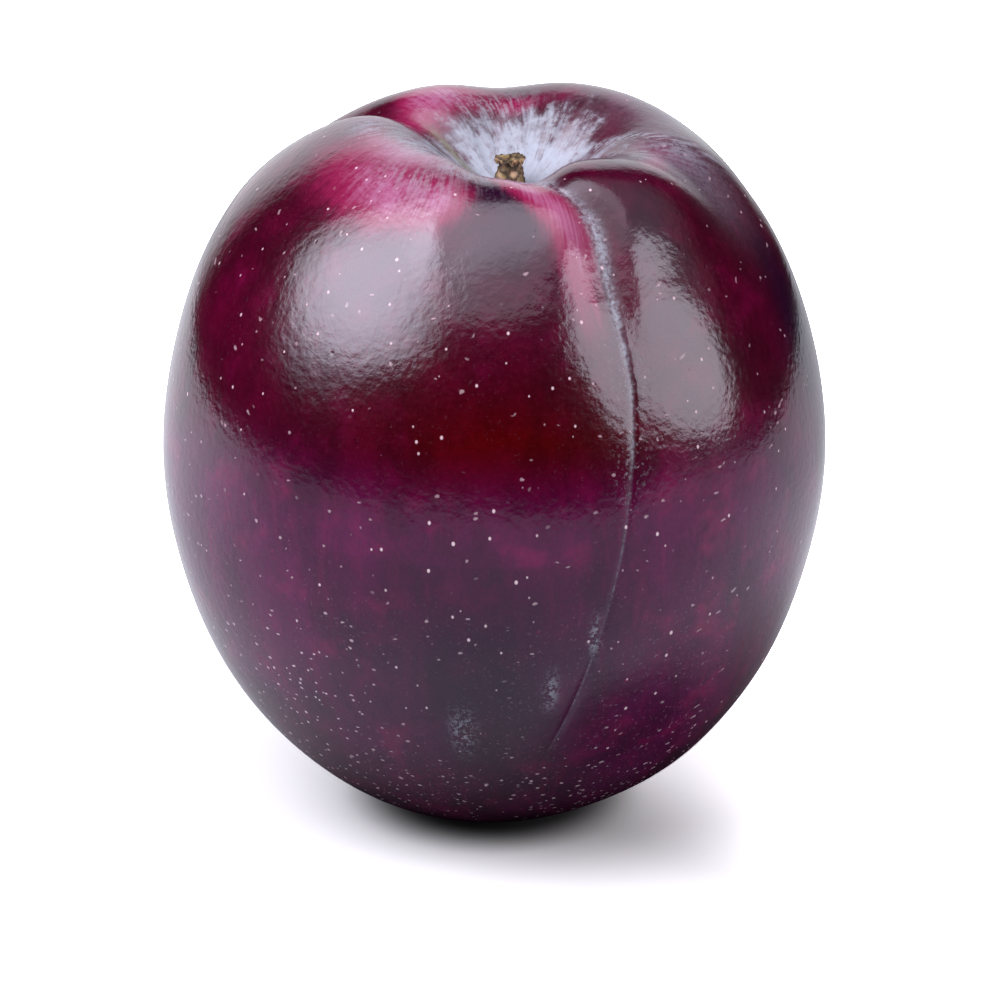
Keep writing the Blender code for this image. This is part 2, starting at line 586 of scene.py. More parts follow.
    # dots
    large_dot_spacing: float = 1.5
    large_dot_stretch: Stretch = (1.0, 1.0, 0.76)
    large_dot_core: Span = (0.035, 0.100)
    large_dot_edge: Span = (0.085, 0.190)
    large_dot_strength: Span = (0.80, 1.00)
    large_dot_chance: Span = (0.08, 0.16)
    small_dot_spacing: float = 0.72
    small_dot_stretch: Stretch = (0.85, 0.85, 1.30)
    small_dot_core: Span = (0.03, 0.11)
    small_dot_edge: Span = (0.09, 0.22)
    small_dot_strength: Span = (0.45, 0.95)
    rarest_kept: Span = (0.93, 0.21)
    surely_kept: Span = (0.98, 0.28)
    dot_wander: Texture = Texture(1.1, 2.0)
    dot_wander_reach: float = 1.2
    dots_start: Span = (10.0, 15.0)
    dot_share: float = 0.9
    # relief
    peel: Texture = Texture(0.70, 3.0, 0.5)
    peel_height: float = 0.034
    swell: Texture = Texture(3.0, 1.0)
    swell_height: float = 0.022
    pit_spacing: float = 2.6
    pit_core: float = 0.05
    pit_edge: Span = (0.05, 0.27)
    pit_depth: float = 0.02
    dot_height: float = 0.010
    powder: Texture = Texture(0.22, 2.0)
    powder_height: float = 0.02

    def make(self) -> bpy.types.Material:
        """Builds the material."""
        material = bpy.data.materials.new("waxed_skin")
        graph = Graph(material)
        place = graph.place()
        polar = graph.layer(Layer.POLAR)
        radius = graph.layer(Layer.RADIUS)
        flow = graph.layer(Layer.FLOW, "Vector")
        lower = polar.rising(*self.lower_half)
        fine = graph.grain(place, self.fine)

        colour = self._ground(graph, place, flow, lower, fine)
        colour = self._blush(graph, place, flow, fine, colour)
        # a whitish haze, partly a film on the skin and partly painted sheen
        haze_and_painted_sheen_film = (graph.layer(Layer.HAZE_AND_PAINTED_SHEEN) * fine.between(*self.haze_and_sheen_breakup)).lower_of(self.most_haze_and_sheen)
        colour = graph.mix(haze_and_painted_sheen_film, colour, self.haze)
        colour = graph.mix(self._dust(graph, place, polar), colour, self.dust)
        bloom = self._bloom(graph, place, flow, polar, radius, fine)
        colour = graph.mix(bloom, colour, self.bloom)
        colour = graph.mix(graph.layer(Layer.CREASE) * fine.between(*self.olive_breakup), colour, self.olive)
        dots = self._dots(graph, place, radius)
        colour = graph.mix(dots, colour, graph.mix(lower, self.dot, self.low_dot))
        scar = radius.falling(*self.scar_radius) * polar.rising(*self.scar_start)
        colour = graph.mix(scar, colour, self.scar)

        roughness = self.shine + self.uneven_shine * (fine - 0.5)
        roughness = roughness + self.bloom_roughness * bloom.higher_of(haze_and_painted_sheen_film) + self.dot_roughness * dots
        normal = self._relief(graph, place, bloom, dots)
        inputs = {"Base Color": colour, "Roughness": roughness, "Normal": normal, "IOR": self.refraction,
                  "Specular Tint": self.sheen_tint}
        shader = graph.node("ShaderNodeBsdfPrincipled", {}, inputs)
        graph.node("ShaderNodeOutputMaterial", {}, {"Surface": shader.outputs[0]})
        return material

    def _ground(self, graph: Graph, place: Field, flow: Field, lower: Field, fine: Field) -> Field:
        """The skin's own dark colour, clouded and mottled, with magenta spots low down, and painted shade
        laid over it.

        Args:
            graph: the material's nodes.
            place: the point of the fruit.
            flow: the direction round the stem and the distance down the skin.
            lower: 1 on the lower half.
            fine: fine grain.

        Returns:
            The colour.
        """
        clouds = graph.grain(place, self.clouds)
        warmth = (graph.layer(Layer.WARMTH) * clouds.between(*self.warmth_breakup)).lower_of(1.0)
        colour = graph.mix(warmth, self.wine, self.deep_red)
        colour = graph.mix(lower * self.low_purple_share, colour, self.low_purple)
        mottle = graph.grain(place, self.mottle)
        drift = graph.grain(place, self.drift)
        colour = colour * (mottle + drift).between(*self.mottle_shading) * fine.between(*self.fine_shading)
        calm = 1.0 - self.warm_calm * warmth * (1.0 - lower)
        spots = mottle.rising(*self.spot_span) * lower.between(*self.spot_share) * calm
        streaks = self.ground_streaks.read(graph, flow, place)
        streaks = streaks.rising(*self.streak_span) * self.streak_share * lower
        spots = spots.higher_of(streaks)
        halo, luck = graph.cells(place + (clouds - 0.5) * self.halo_wander, self.halo_spacing)
        halo = halo.falling(self.halo_core, mottle.between(*self.halo_edge)) * luck.rising(*self.halo_luck)
        halo = halo * lower.between(*self.halo_share)
        colour = graph.mix(spots.higher_of(halo), colour, self.magenta)
        # painted shade: darkens patches of the crown and the front of the lower half
        return graph.mix(graph.layer(Layer.PAINTED_SHADE), colour, self.painted_shade_colour)

    def _blush(self, graph: Graph, place: Field, flow: Field, fine: Field, colour: Field) -> Field:
        """Lays the rosy patches over a colour: stippled ones, and a streaky one beside the suture.

        Args:
            graph: the material's nodes.
            place: the point of the fruit.
            flow: the direction round the stem and the distance down the skin.
            fine: fine grain.
            colour: what is underneath.

        Returns:
            The colour with the blush.
        """
        streaks = self.blush_streaks.read(graph, flow, place)
        stipple = graph.grain(place, self.stipple)
        stippled, streaked, grained, least = self.blush_weights
        texture = stippled * stipple + streaked * streaks + grained * fine + least
        patch = graph.layer(Layer.BLUSH) * texture
        colour = graph.mix(patch.rising(*self.blush_span), colour, self.rose)
        pale = patch.rising(*self.pale_blush_span) * self.pale_blush_share
        colour = graph.mix(pale, colour, self.pale_rose)
        streaked, grained, least = self.bank_weights
        bank = graph.layer(Layer.BANK) * (least + streaked * streaks + grained * fine)
        colour = graph.mix(bank.rising(*self.bank_span), colour, self.rose)
        return graph.mix(bank.rising(*self.pale_bank_span) * self.pale_bank_share, colour, self.pale_rose)

    def _dust(self, graph: Graph, place: Field, polar: Field) -> Field:
        """A powder of fine pale grains, thickest low down."""
        grains = graph.grain(place, self.dust_grains) * graph.grain(place, self.dust_drift)
        return grains * polar.rising(*self.dusty_from).between(*self.dust_share)

    def _bloom(self, graph: Graph, place: Field, flow: Field, polar: Field, radius: Field,
               fine: Field) -> Field:
        """The waxy bloom that is left in the stem hollow, along the suture and in a few smears.

        Args:
            graph: the material's nodes.
            place: the point of the fruit.
            flow: the direction round the stem and the distance down the skin.
            polar: the polar angle in degrees.
            radius: the distance from the axis.
            fine: fine grain.

        Returns:
            How thick the bloom is, from 0 to 1.
        """
        fine_rays = self.fine_rays.read(graph, flow, place)
        blotches = graph.grain(place, self.blotches)
        speckle = graph.grain(place, self.speckle)
        hollow = self._hollow_bloom(graph, place, flow, polar, radius, blotches)
        blotched, rayed, grained = self.hollow_weights
        texture = blotches * blotched + fine_rays * rayed + fine * grained
        texture = texture.rising(hollow.between(*self.hollow_bare), hollow.between(*self.hollow_full))
        cover = hollow.rising(*self.hollow_cover) * hollow.between(*self.hollow_thickness)
        hollow = cover * texture.between(*self.hollow_breakup)
        below = polar.rising(*self.belly)
        speckled, rayed = self.flake_weights
        flakes = (speckle * speckled + blotches * (1.0 - speckled)).rising(*self.flake_span) * below
        brushed = (fine_rays * rayed + fine * (1.0 - rayed)).rising(*self.brushed_span) * (1.0 - below)
        marks = graph.layer(Layer.BLOOM) * (flakes + brushed)
        suture = self._suture_bloom(graph, flow, polar, speckle)
        return hollow.higher_of(suture).higher_of(marks).lower_of(1.0)

    def _hollow_bloom(self, graph: Graph, place: Field, flow: Field, polar: Field, radius: Field,
                      blotches: Field) -> Field:
        """How deep inside the bloom of the stem hollow a point lies, with a ragged, rayed edge."""
        rays = self.rays.read(graph, flow, place)
        rayed, blotched = self.hollow_bloom_swing
        edge = self.hollow_bloom_radius + rayed * (rays - 0.5) + blotched * (blotches - 0.5)
        inner, outer = self.hollow_bloom_fade
        return radius.falling(edge + inner, edge + outer) * polar.falling(*self.crown_end)

    def _suture_bloom(self, graph: Graph, flow: Field, polar: Field, speckle: Field) -> Field:
        """The line of bloom along the suture, broken by gaps, with a crust beside it at the belly."""
        across = graph.layer(Layer.SUTURE)
        least, upper, middle = self.suture_widths
        width = least + upper * polar.falling(*self.upper_suture)
        width = width + middle * polar.falling(*self.middle_suture)
        line = across.bell(width) * polar.falling(*self.suture_bloom_end)
        gaps = graph.grain(flow, self.gaps)
        strength = polar.falling(*self.suture_fade).between(*self.suture_strength)
        broken = speckle.rising(*self.suture_speckle).between(*self.suture_breakup)
        suture = line * gaps.between(*self.gap_breakup) * broken * strength
        crust = across.bell(self.crust_width) * speckle.rising(*self.crust_span)
        crust = crust * polar.rising(*self.crust_start) * polar.falling(*self.crust_end)
        return suture.higher_of(crust * self.crust_share)

    def _dots(self, graph: Graph, place: Field, radius: Field) -> Field:
        """Pale breathing pores: sparse round ones at the belly, fine and crowded ones low down."""
        large, chance = graph.cells(place * self.large_dot_stretch, self.large_dot_spacing)
        belly = large.falling(chance.between(*self.large_dot_core), chance.between(*self.large_dot_edge))
        belly = belly * chance.between(*self.large_dot_strength) * chance.rising(*self.large_dot_chance)
        wander = graph.grain(place, self.dot_wander) * self.dot_wander_reach
        small, luck = graph.cells(place * self.small_dot_stretch + wander, self.small_dot_spacing)
        grit = graph.layer(Layer.GRIT)
        low = small.falling(luck.between(*self.small_dot_core), luck.between(*self.small_dot_edge))
        low = low * grit.between(*self.small_dot_strength)
        keep = luck.rising(grit.between(*self.rarest_kept), grit.between(*self.surely_kept))
        return belly.higher_of(low * keep) * radius.rising(*self.dots_start) * self.dot_share

    def _relief(self, graph: Graph, place: Field, bloom: Field, dots: Field) -> bpy.types.NodeSocket:
        """Orange-peel unevenness, powdery bloom, small pits and slightly raised dots."""
        pit, chance = graph.cells(place, self.pit_spacing)
        pits = pit.falling(self.pit_core, chance.between(*self.pit_edge))
        height = graph.grain(place, self.peel) * self.peel_height
        height = height + graph.grain(place, self.swell) * self.swell_height
        height = height + dots * self.dot_height - pits * self.pit_depth
        height = height + graph.grain(place, self.powder) * bloom * self.powder_height
        inputs = {"Strength": 1.0, "Distance": MM, "Height": height}
        return graph.node("ShaderNodeBump", {}, inputs).outputs[0]


@dataclass
class Fruit:
    """The whole fruit: skin, stem hollow, suture, furrows, shoulders and foot.

    Lengths are in millimetres and angles in degrees, except fades, which are in radians of polar angle.
    """

    node: str = "fruit"
    belly_radius: float = 28.0
    belly_height: float = 32.4
    upper_rise: float = 33.8
    lower_drop: float = 33.2
    funnel_depth: float = 8.3
    funnel_radius: float = 7.8
    crown_depth: float = 2.5
    crown_radius: float = 14.8
    stem_lean: tuple[float, float] = (0.9, -1.3)
    lean_start: float = 53.0
    lean_end: float = 62.0
    furrow_start: float = 5.0
    shoulder_azimuth: float = 79.6
    shoulder_spread: float = 21.6
    shoulder_depth: float = 1.25
    shoulder_radius: float = 17.0
    columns: int = 400
    rows: int = 246
    row_crowding: float = 0.45
    column_crowding: float = 0.70
    foot_rounding: float = 0.15
    suture: Furrow = Furrow(0.0, 0.8, 2.2, 24.0)
    furrows: tuple[Furrow, ...] = (
        Furrow(-27.7, 2.1, 4.1, 13.9, sharpness=4.0),
        Furrow(48.8, 1.8, 4.3, 19.7),
        Furrow(157.8, 1.45, 4.0, 15.4),
        Furrow(-145.7, 2.1, 2.1, 17.8),
    )
    drift_start: float = 66.0
    drift_rate: float = 0.13
    drift_growth: float = 0.0022
    top_swing: float = -14.0
    top_swing_start: float = 24.0
    top_swing_spread: float = 10.0
    crease_depth: float = 0.095
    crease_half_width: float = 0.32
    crease_end: float = 128.0
    crease_fade: float = 0.25
    ripples: tuple[tuple[int, float, float], ...] = ((9, 1.0, 0.7), (14, 0.8, 2.1), (23, 0.6, 4.0))
    ripple_depth: float = 0.10
    ripple_radius: float = 5.5
    ripple_spread: float = 3.2
    lump_depth: float = 0.10
    suture_range: float = 12.0
    bank_distance: float = 2.3
    bank_half_width: float = 2.1
    bank_end: float = 62.0
    bank_fade: Span = (-0.45, 0.15)
    blushes: tuple[Patch, ...] = (
        Patch(-60.0, 16.3, 17.0, 2.6, 1.05),
        Patch(-84.0, 14.6, 24.0, 3.6, 0.85),
        Patch(-75.0, 11.2, 34.0, 1.7, 0.75),
        Patch(-45.0, 15.2, 8.0, 2.4, 0.65),
        Patch(-168.0, 10.6, 26.0, 2.6, 1.35),
        Patch(150.0, 9.3, 14.0, 1.4, 0.7),
        Patch(122.0, 10.4, 14.0, 1.8, 0.35),
        Patch(40.0, 13.8, 14.0, 1.6, 0.65),
        Patch(66.0, 13.5, 14.0, 2.5, 0.3),
        Patch(150.0, 17.0, 26.0, 4.0, 0.4),
    )
    # patches of painted shade on the crown
    painted_shades: tuple[Patch, ...] = (
        Patch(-29.0, 14.2, 20.0, 1.8, 0.85),
        Patch(28.0, 11.5, 22.0, 2.8, 0.75),
        Patch(88.0, 16.0, 16.0, 3.0, 0.55),
        Patch(148.0, 10.5, 9.0, 3.0, 0.6),
        Patch(-24.0, 19.5, 17.0, 4.0, 0.55),
        Patch(14.0, 17.5, 9.0, 3.0, 0.5),
        Patch(53.0, 24.2, 8.0, 3.2, 0.8),
        Patch(46.0, 26.0, 8.0, 1.6, 0.5),
    )
    rim_blooms: tuple[Patch, ...] = (
        Patch(-86.0, 8.4, 36.0, 2.2, 0.95),
        Patch(-46.0, 11.8, 12.0, 1.3, 0.6),
        Patch(-114.0, 11.7, 14.0, 1.7, 0.55),
        Patch(42.0, 12.2, 15.0, 1.2, 0.45),
        Patch(62.0, 14.5, 9.0, 3.4, 0.35),
        Patch(-58.0, 14.0, 20.0, 1.8, 0.30),
        Patch(166.0, 9.6, 22.0, 1.6, 0.42),
    )
    # patches of haze; some are painted sheen that stands in for a reflection on the crown
    hazes_and_painted_sheen: tuple[Patch, ...] = (
        Patch(96.0, 13.0, 24.0, 4.0, 0.20),
        Patch(54.0, 15.0, 14.0, 3.5, 0.30),
        Patch(-72.0, 10.6, 30.0, 2.2, 0.40),
        Patch(-125.0, 12.0, 14.0, 4.0, 0.15),
        Patch(51.0, 19.3, 10.0, 2.6, 0.18),
    )
    warm_patch: Patch = Patch(-24.0, 38.5, 24.0, 9.0, 1.3)
    gritty_patches: tuple[Patch, ...] = (
        Patch(-66.0, 17.0, 17.0, 8.5, 0.95),
        Patch(110.0, 18.0, 40.0, 7.0, 0.5),
    )
    gritty_foot: Span = (118.0, 138.0)
    foot_grit: float = 0.8
    # painted shade down the front of the lower half
    painted_low_shade: Patch = Patch(-27.0, 22.0, 19.0, 11.0, 0.84)
    rim_rise: Patch = Patch(-22.0, 13.4, 26.0, 2.6, 0.40)
    green_line_turn: float = -6.0
    green_line_radius: float = 6.0
    green_line_reach: float = 3.2
    green_line_half_width: float = 0.35
    green_line_strength: float = 0.8
    bloom_line: float = 64.0
    bloom_line_swing: float = 31.0
    bloom_line_curl: float = 5.5
    bloom_line_uncurl: float = 3.2
    bloom_line_bend: float = 15.0
    bloom_line_drift: float = 0.8
    bloom_line_start: Span = (4.0, 6.0)
    bloom_line_end: Span = (21.0, 17.0)
    bloom_line_half_width: float = 0.55
    bloom_line_strength: float = 0.62
    smears: tuple[Patch, ...] = (
        Patch(-8.4, 25.3, 1.0, 1.5, 0.9),
        Patch(-15.8, 20.2, 1.2, 1.5, 0.8),
        Patch(-32.0, 15.8, 2.1, 2.0, 0.85),
    )
    finish: SkinFinish = SkinFinish()

    def build(self) -> bpy.types.Object:
        """Shapes and dresses the fruit.

        Returns:
            The fruit, in place of the frame's plain one.
        """
        mesh = self._sphere()
        polar, azimuth = self._directions(read_points(mesh))
        write_points(mesh, self._fit(self._skin(polar, azimuth)))
        self._write_layers(mesh, polar, azimuth)
        mesh.shade_smooth()
        piece = show("plum_fruit", mesh)
        mesh.materials.append(self.finish.make())
        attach(piece, Body.WHOLE.value)
        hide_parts(self.node)
        return piece

    def _sphere(self) -> bpy.types.Mesh:
        """A sphere with its poles at the stem and the base."""
        shape = bmesh.new()
        bmesh.ops.create_uvsphere(shape, u_segments=self.columns, v_segments=self.rows, radius=1.0)
        mesh = bpy.data.meshes.new("plum_fruit")
        shape.to_mesh(mesh)
        shape.free()
        return mesh

    def _directions(self, points: Array) -> tuple[Array, Array]:
        """The polar angle and azimuth, in radians, that each point of the sphere is carried to.

        Args:
            points: the sphere's vertices.

        Returns:
            Polar angles, drawn towards the stem, and azimuths, drawn towards the suture.
        """
        step = np.arccos(np.clip(points[:, 2], -1.0, 1.0))
        polar = step - self.row_crowding * np.sin(step)
        turn = np.arctan2(points[:, 0], -points[:, 1])
        azimuth = turn - self.column_crowding * np.sin(turn)
        follow = (0.5 + 0.5 * np.cos(turn)) ** 2
        return polar, azimuth + self._drift(polar) * follow

    def _drift(self, polar: Array) -> Array:
        """How far the suture has swung round by each polar angle, in radians."""
        angle = np.degrees(polar)
        past = np.clip(angle - self.drift_start, 0.0, self.crease_end - self.drift_start)
        below = -(self.drift_rate + self.drift_growth * past) * past
        above = self.top_swing * bell(np.maximum(angle - self.top_swing_start, 0.0), self.top_swing_spread)
        return np.radians(below + above)

    def _across_suture(self, polar: Array, azimuth: Array) -> Array:
        """Distance from the suture, along the skin."""
        turn = turn_between(azimuth - self._drift(polar), 0.0)
        return np.abs(turn) * self.belly_radius * np.sin(polar)

    def _skin(self, polar: Array, azimuth: Array) -> Array:
        """Points of the skin.

        Args:
            polar: polar angles.
            azimuth: azimuths.

        Returns:
            The points, in millimetres, with the foot's middle at the origin.
        """
        upper = polar < math.pi / 2
        radius = self.belly_radius * np.sin(polar)
        body_height = self.belly_height + np.where(upper, self.upper_rise, self.lower_drop) * np.cos(polar)
        slope = np.stack([np.sin(polar) / self.belly_radius, np.cos(polar) / self.upper_rise])
        outward, upward = slope / np.linalg.norm(slope, axis=0)
        sunk = self._sunk(polar, azimuth, radius)
        out = radius - sunk * outward
        height = body_height - sunk * upward
        lean = smooth_step(self.lean_start, self.lean_end, height)
        hollow = self.funnel_depth * bell(radius, self.funnel_radius)
        hollow += self.crown_depth * bell(radius, self.crown_radius)
        height -= np.where(upper, hollow, 0.0)
        height = 0.5 * (height + np.sqrt(height * height + self.foot_rounding**2))
        return np.stack([
            out * np.sin(azimuth) + self.stem_lean[0] * lean,
            -out * np.cos(azimuth) + self.stem_lean[1] * lean,
            height,
        ], axis=1)

    def _sunk(self, polar: Array, azimuth: Array, radius: Array) -> Array:
        """How far each point lies under the plain body: furrows, low shoulder, crease and lumps."""
        suture = self.suture.depth_at(polar, azimuth - self._drift(polar), radius, self.belly_radius)
        valleys = suture + sum(
            furrow.depth_at(polar, azimuth, radius, self.belly_radius) for furrow in self.furrows
        )
        turn = np.degrees(turn_between(azimuth, self.shoulder_azimuth))
        shoulder = self.shoulder_depth * bell(turn, self.shoulder_spread)
        shoulder = shoulder * bell(radius, self.shoulder_radius, 4.0)
        shoulder = shoulder - self.rim_rise.strength_at(azimuth, radius) * (polar < math.pi / 2)
        outside = 1.0 - bell(radius, self.furrow_start)
        end = math.radians(self.crease_end)
        crease = self.crease_depth * bell(self._across_suture(polar, azimuth), self.crease_half_width)
        crease = crease * smooth_step(end, end - self.crease_fade, polar)
        sunk = (valleys + shoulder + crease) * outside
        return sunk + self._ripples(polar, azimuth, radius) + self._lumps(polar, azimuth)

    def _ripples(self, polar: Array, azimuth: Array, radius: Array) -> Array:
        """Shallow folds that run down into the stem hollow."""
        folds = sum(share * np.sin(count * azimuth + start) for count, share, start in self.ripples)
        window = bell(radius - self.ripple_radius, self.ripple_spread) * (polar < math.pi / 2)
        return self.ripple_depth * folds * window

    def _lumps(self, polar: Array, azimuth: Array) -> Array:
        """Broad, gentle unevenness of the whole body."""
        x = np.sin(polar) * np.sin(azimuth)
        y = np.sin(polar) * np.cos(azimuth)
        z = np.cos(polar)
        waves = np.sin(6.1 * x + 2.3 * z + 0.4) * np.cos(5.2 * y - 1.9 * x + 1.0)
        waves += 0.6 * np.sin(11.0 * z + 4.0 * y) * np.cos(9.0 * x + 2.0)
        return self.lump_depth * (1.0 + waves)

    def _fit(self, points: Array) -> Array:
        """Brings the points to metres and to exactly the size of the frame's fruit."""
        low, high = (np.array(corner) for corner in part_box(self.node))
        span = points.max(axis=0) - points.min(axis=0)
        return (points - points.min(axis=0)) * (high - low) / span + low

    def _write_layers(self, mesh: bpy.types.Mesh, polar: Array, azimuth: Array) -> None:
        """Stores what the finish reads.

        Args:
            mesh: the fruit's mesh.
            polar: polar angles of its vertices.
            azimuth: their azimuths.
        """
        radius = self.belly_radius * np.sin(polar)
        crown = polar < math.pi / 2
        height = self.belly_height + np.where(crown, self.upper_rise, self.lower_drop) * np.cos(polar)
        # painted shade: the crown's patches and the patch on the lower half
        shade = together(self.painted_shades, azimuth, radius) * crown
        shade += self.painted_low_shade.strength_at(azimuth, height) * ~crown
        grit = self.foot_grit * smooth_step(*np.radians(self.gritty_foot), polar)
        grit = np.maximum(grit, strongest(self.gritty_patches, azimuth, height))
        along = self.belly_radius * polar
        across = np.minimum(self._across_suture(polar, azimuth), self.suture_range)
        layers = {
            Layer.POLAR: np.degrees(polar),
            Layer.RADIUS: radius,
            Layer.SUTURE: across,
            Layer.BLUSH: together(self.blushes, azimuth, radius) * crown,
            Layer.BANK: self._bank(polar, azimuth) * crown,
            Layer.HAZE_AND_PAINTED_SHEEN: together(self.hazes_and_painted_sheen, azimuth, radius) * crown,
            Layer.PAINTED_SHADE: shade,
            Layer.WARMTH: self.warm_patch.strength_at(azimuth, height),
            Layer.GRIT: grit,
            Layer.CREASE: self._hollow_crease(azimuth, radius) * crown,
            Layer.BLOOM: self._marks(polar, azimuth),
            Layer.FLOW: np.stack([np.cos(azimuth), np.sin(azimuth), along], axis=1),
        }
        for layer, values in layers.items():
            write_layer(mesh, layer, values)

    def _bank(self, polar: Array, azimuth: Array) -> Array:
        """How strongly a point belongs to the rosy bank on the -X side of the suture."""
        turn = turn_between(azimuth - self._drift(polar), 0.0)
        left = -turn * self.belly_radius * np.sin(polar)
        inner, outer = math.radians(self.bank_end) + np.array(self.bank_fade)
        fade = smooth_step(outer, inner, polar)
        return bell(left - self.bank_distance, self.bank_half_width) * fade

    def _hollow_crease(self, azimuth: Array, radius: Array) -> Array:
        """A narrow greenish line at the bottom of the sharpest furrow, inside the hollow."""
        furrow = self.furrows[-1].azimuth
        across = radius * np.sin(turn_between(azimuth, furrow + self.green_line_turn))
        along = bell(radius - self.green_line_radius, self.green_line_reach, 4.0)
        facing = np.cos(turn_between(azimuth, furrow)) > 0.0
        return self.green_line_strength * bell(across, self.green_line_half_width) * along * facing

    def _marks(self, polar: Array, azimuth: Array) -> Array:
        """Smears of bloom on the belly, streaks on the rim and a thin line of it along one furrow."""
        crown = polar < math.pi / 2
        height = self.belly_height + self.upper_rise * np.cos(polar)
        radius = self.belly_radius * np.sin(polar)
        curl = np.exp((self.bloom_line_curl - radius) / self.bloom_line_uncurl)
        line = self.bloom_line + self.bloom_line_swing * curl
        line = line + self.bloom_line_drift * np.maximum(radius - self.bloom_line_bend, 0.0)
        across = radius * turn_between(azimuth - np.radians(line), 0.0)
        reach = smooth_step(*self.bloom_line_start, radius) * smooth_step(*self.bloom_line_end, radius)
        marks = self.bloom_line_strength * bell(across, self.bloom_line_half_width) * reach * crown
        marks = np.maximum(marks, strongest(self.rim_blooms, azimuth, radius) * crown)
        return np.maximum(marks, strongest(self.smears, azimuth, height))


# ---------------------------------------------------------------------------------------------------
# Stem stub
# ---------------------------------------------------------------------------------------------------


@dataclass(frozen=True)
class StemFinish:
    """Dry, broken wood, tan and brown with a little green, and painted shade in the cracks."""

    tan: Colour = (0.74, 0.48, 0.31)
    brown: Colour = (0.32, 0.165, 0.085)
    olive: Colour = (0.20, 0.17, 0.06)
    # the colour of the painted shade in the cracks
    crevice: Colour = (0.018, 0.010, 0.006)
    roughness: float = 0.8
    patches: Texture = Texture(0.9, 3.0, span=(0.35, 0.65))
    green: Texture = Texture(1.6, 1.0, span=(0.50, 0.65))
    green_share: float = 0.6
    crack: Span = (0.05, 0.30)
    crack_shade_strength: float = 0.9
    fibres: Texture = Texture(0.22, 3.0, 0.6, stretch=(1.0, 1.0, 0.35))
    fibre_share: float = 0.5
    fibre_height: float = 0.08

    def make(self) -> bpy.types.Material:
        """Builds the material."""
        material = bpy.data.materials.new("broken_stem")
        graph = Graph(material)
        place = graph.place()
        colour = graph.mix(graph.grain(place, self.patches), self.brown, self.tan)
        colour = graph.mix(graph.grain(place, self.green) * self.green_share, colour, self.olive)
        # painted shade: darkens the cracks between the lumps
        crack = graph.layer(Layer.PAINTED_CRACK_SHADE).falling(*self.crack)
        colour = graph.mix(crack * self.crack_shade_strength, colour, self.crevice)
        fibres = graph.grain(place, self.fibres)
        colour = graph.mix(fibres.falling(0.30, 0.50) * self.fibre_share, colour, self.brown)
        relief = {"Strength": 1.0, "Distance": MM, "Height": fibres * self.fibre_height}
        normal = graph.node("ShaderNodeBump", {}, relief).outputs[0]
        inputs = {"Base Color": colour, "Roughness": self.roughness, "Normal": normal}
        shader = graph.node("ShaderNodeBsdfPrincipled", {}, inputs)
        graph.node("ShaderNodeOutputMaterial", {}, {"Surface": shader.outputs[0]})
        return material


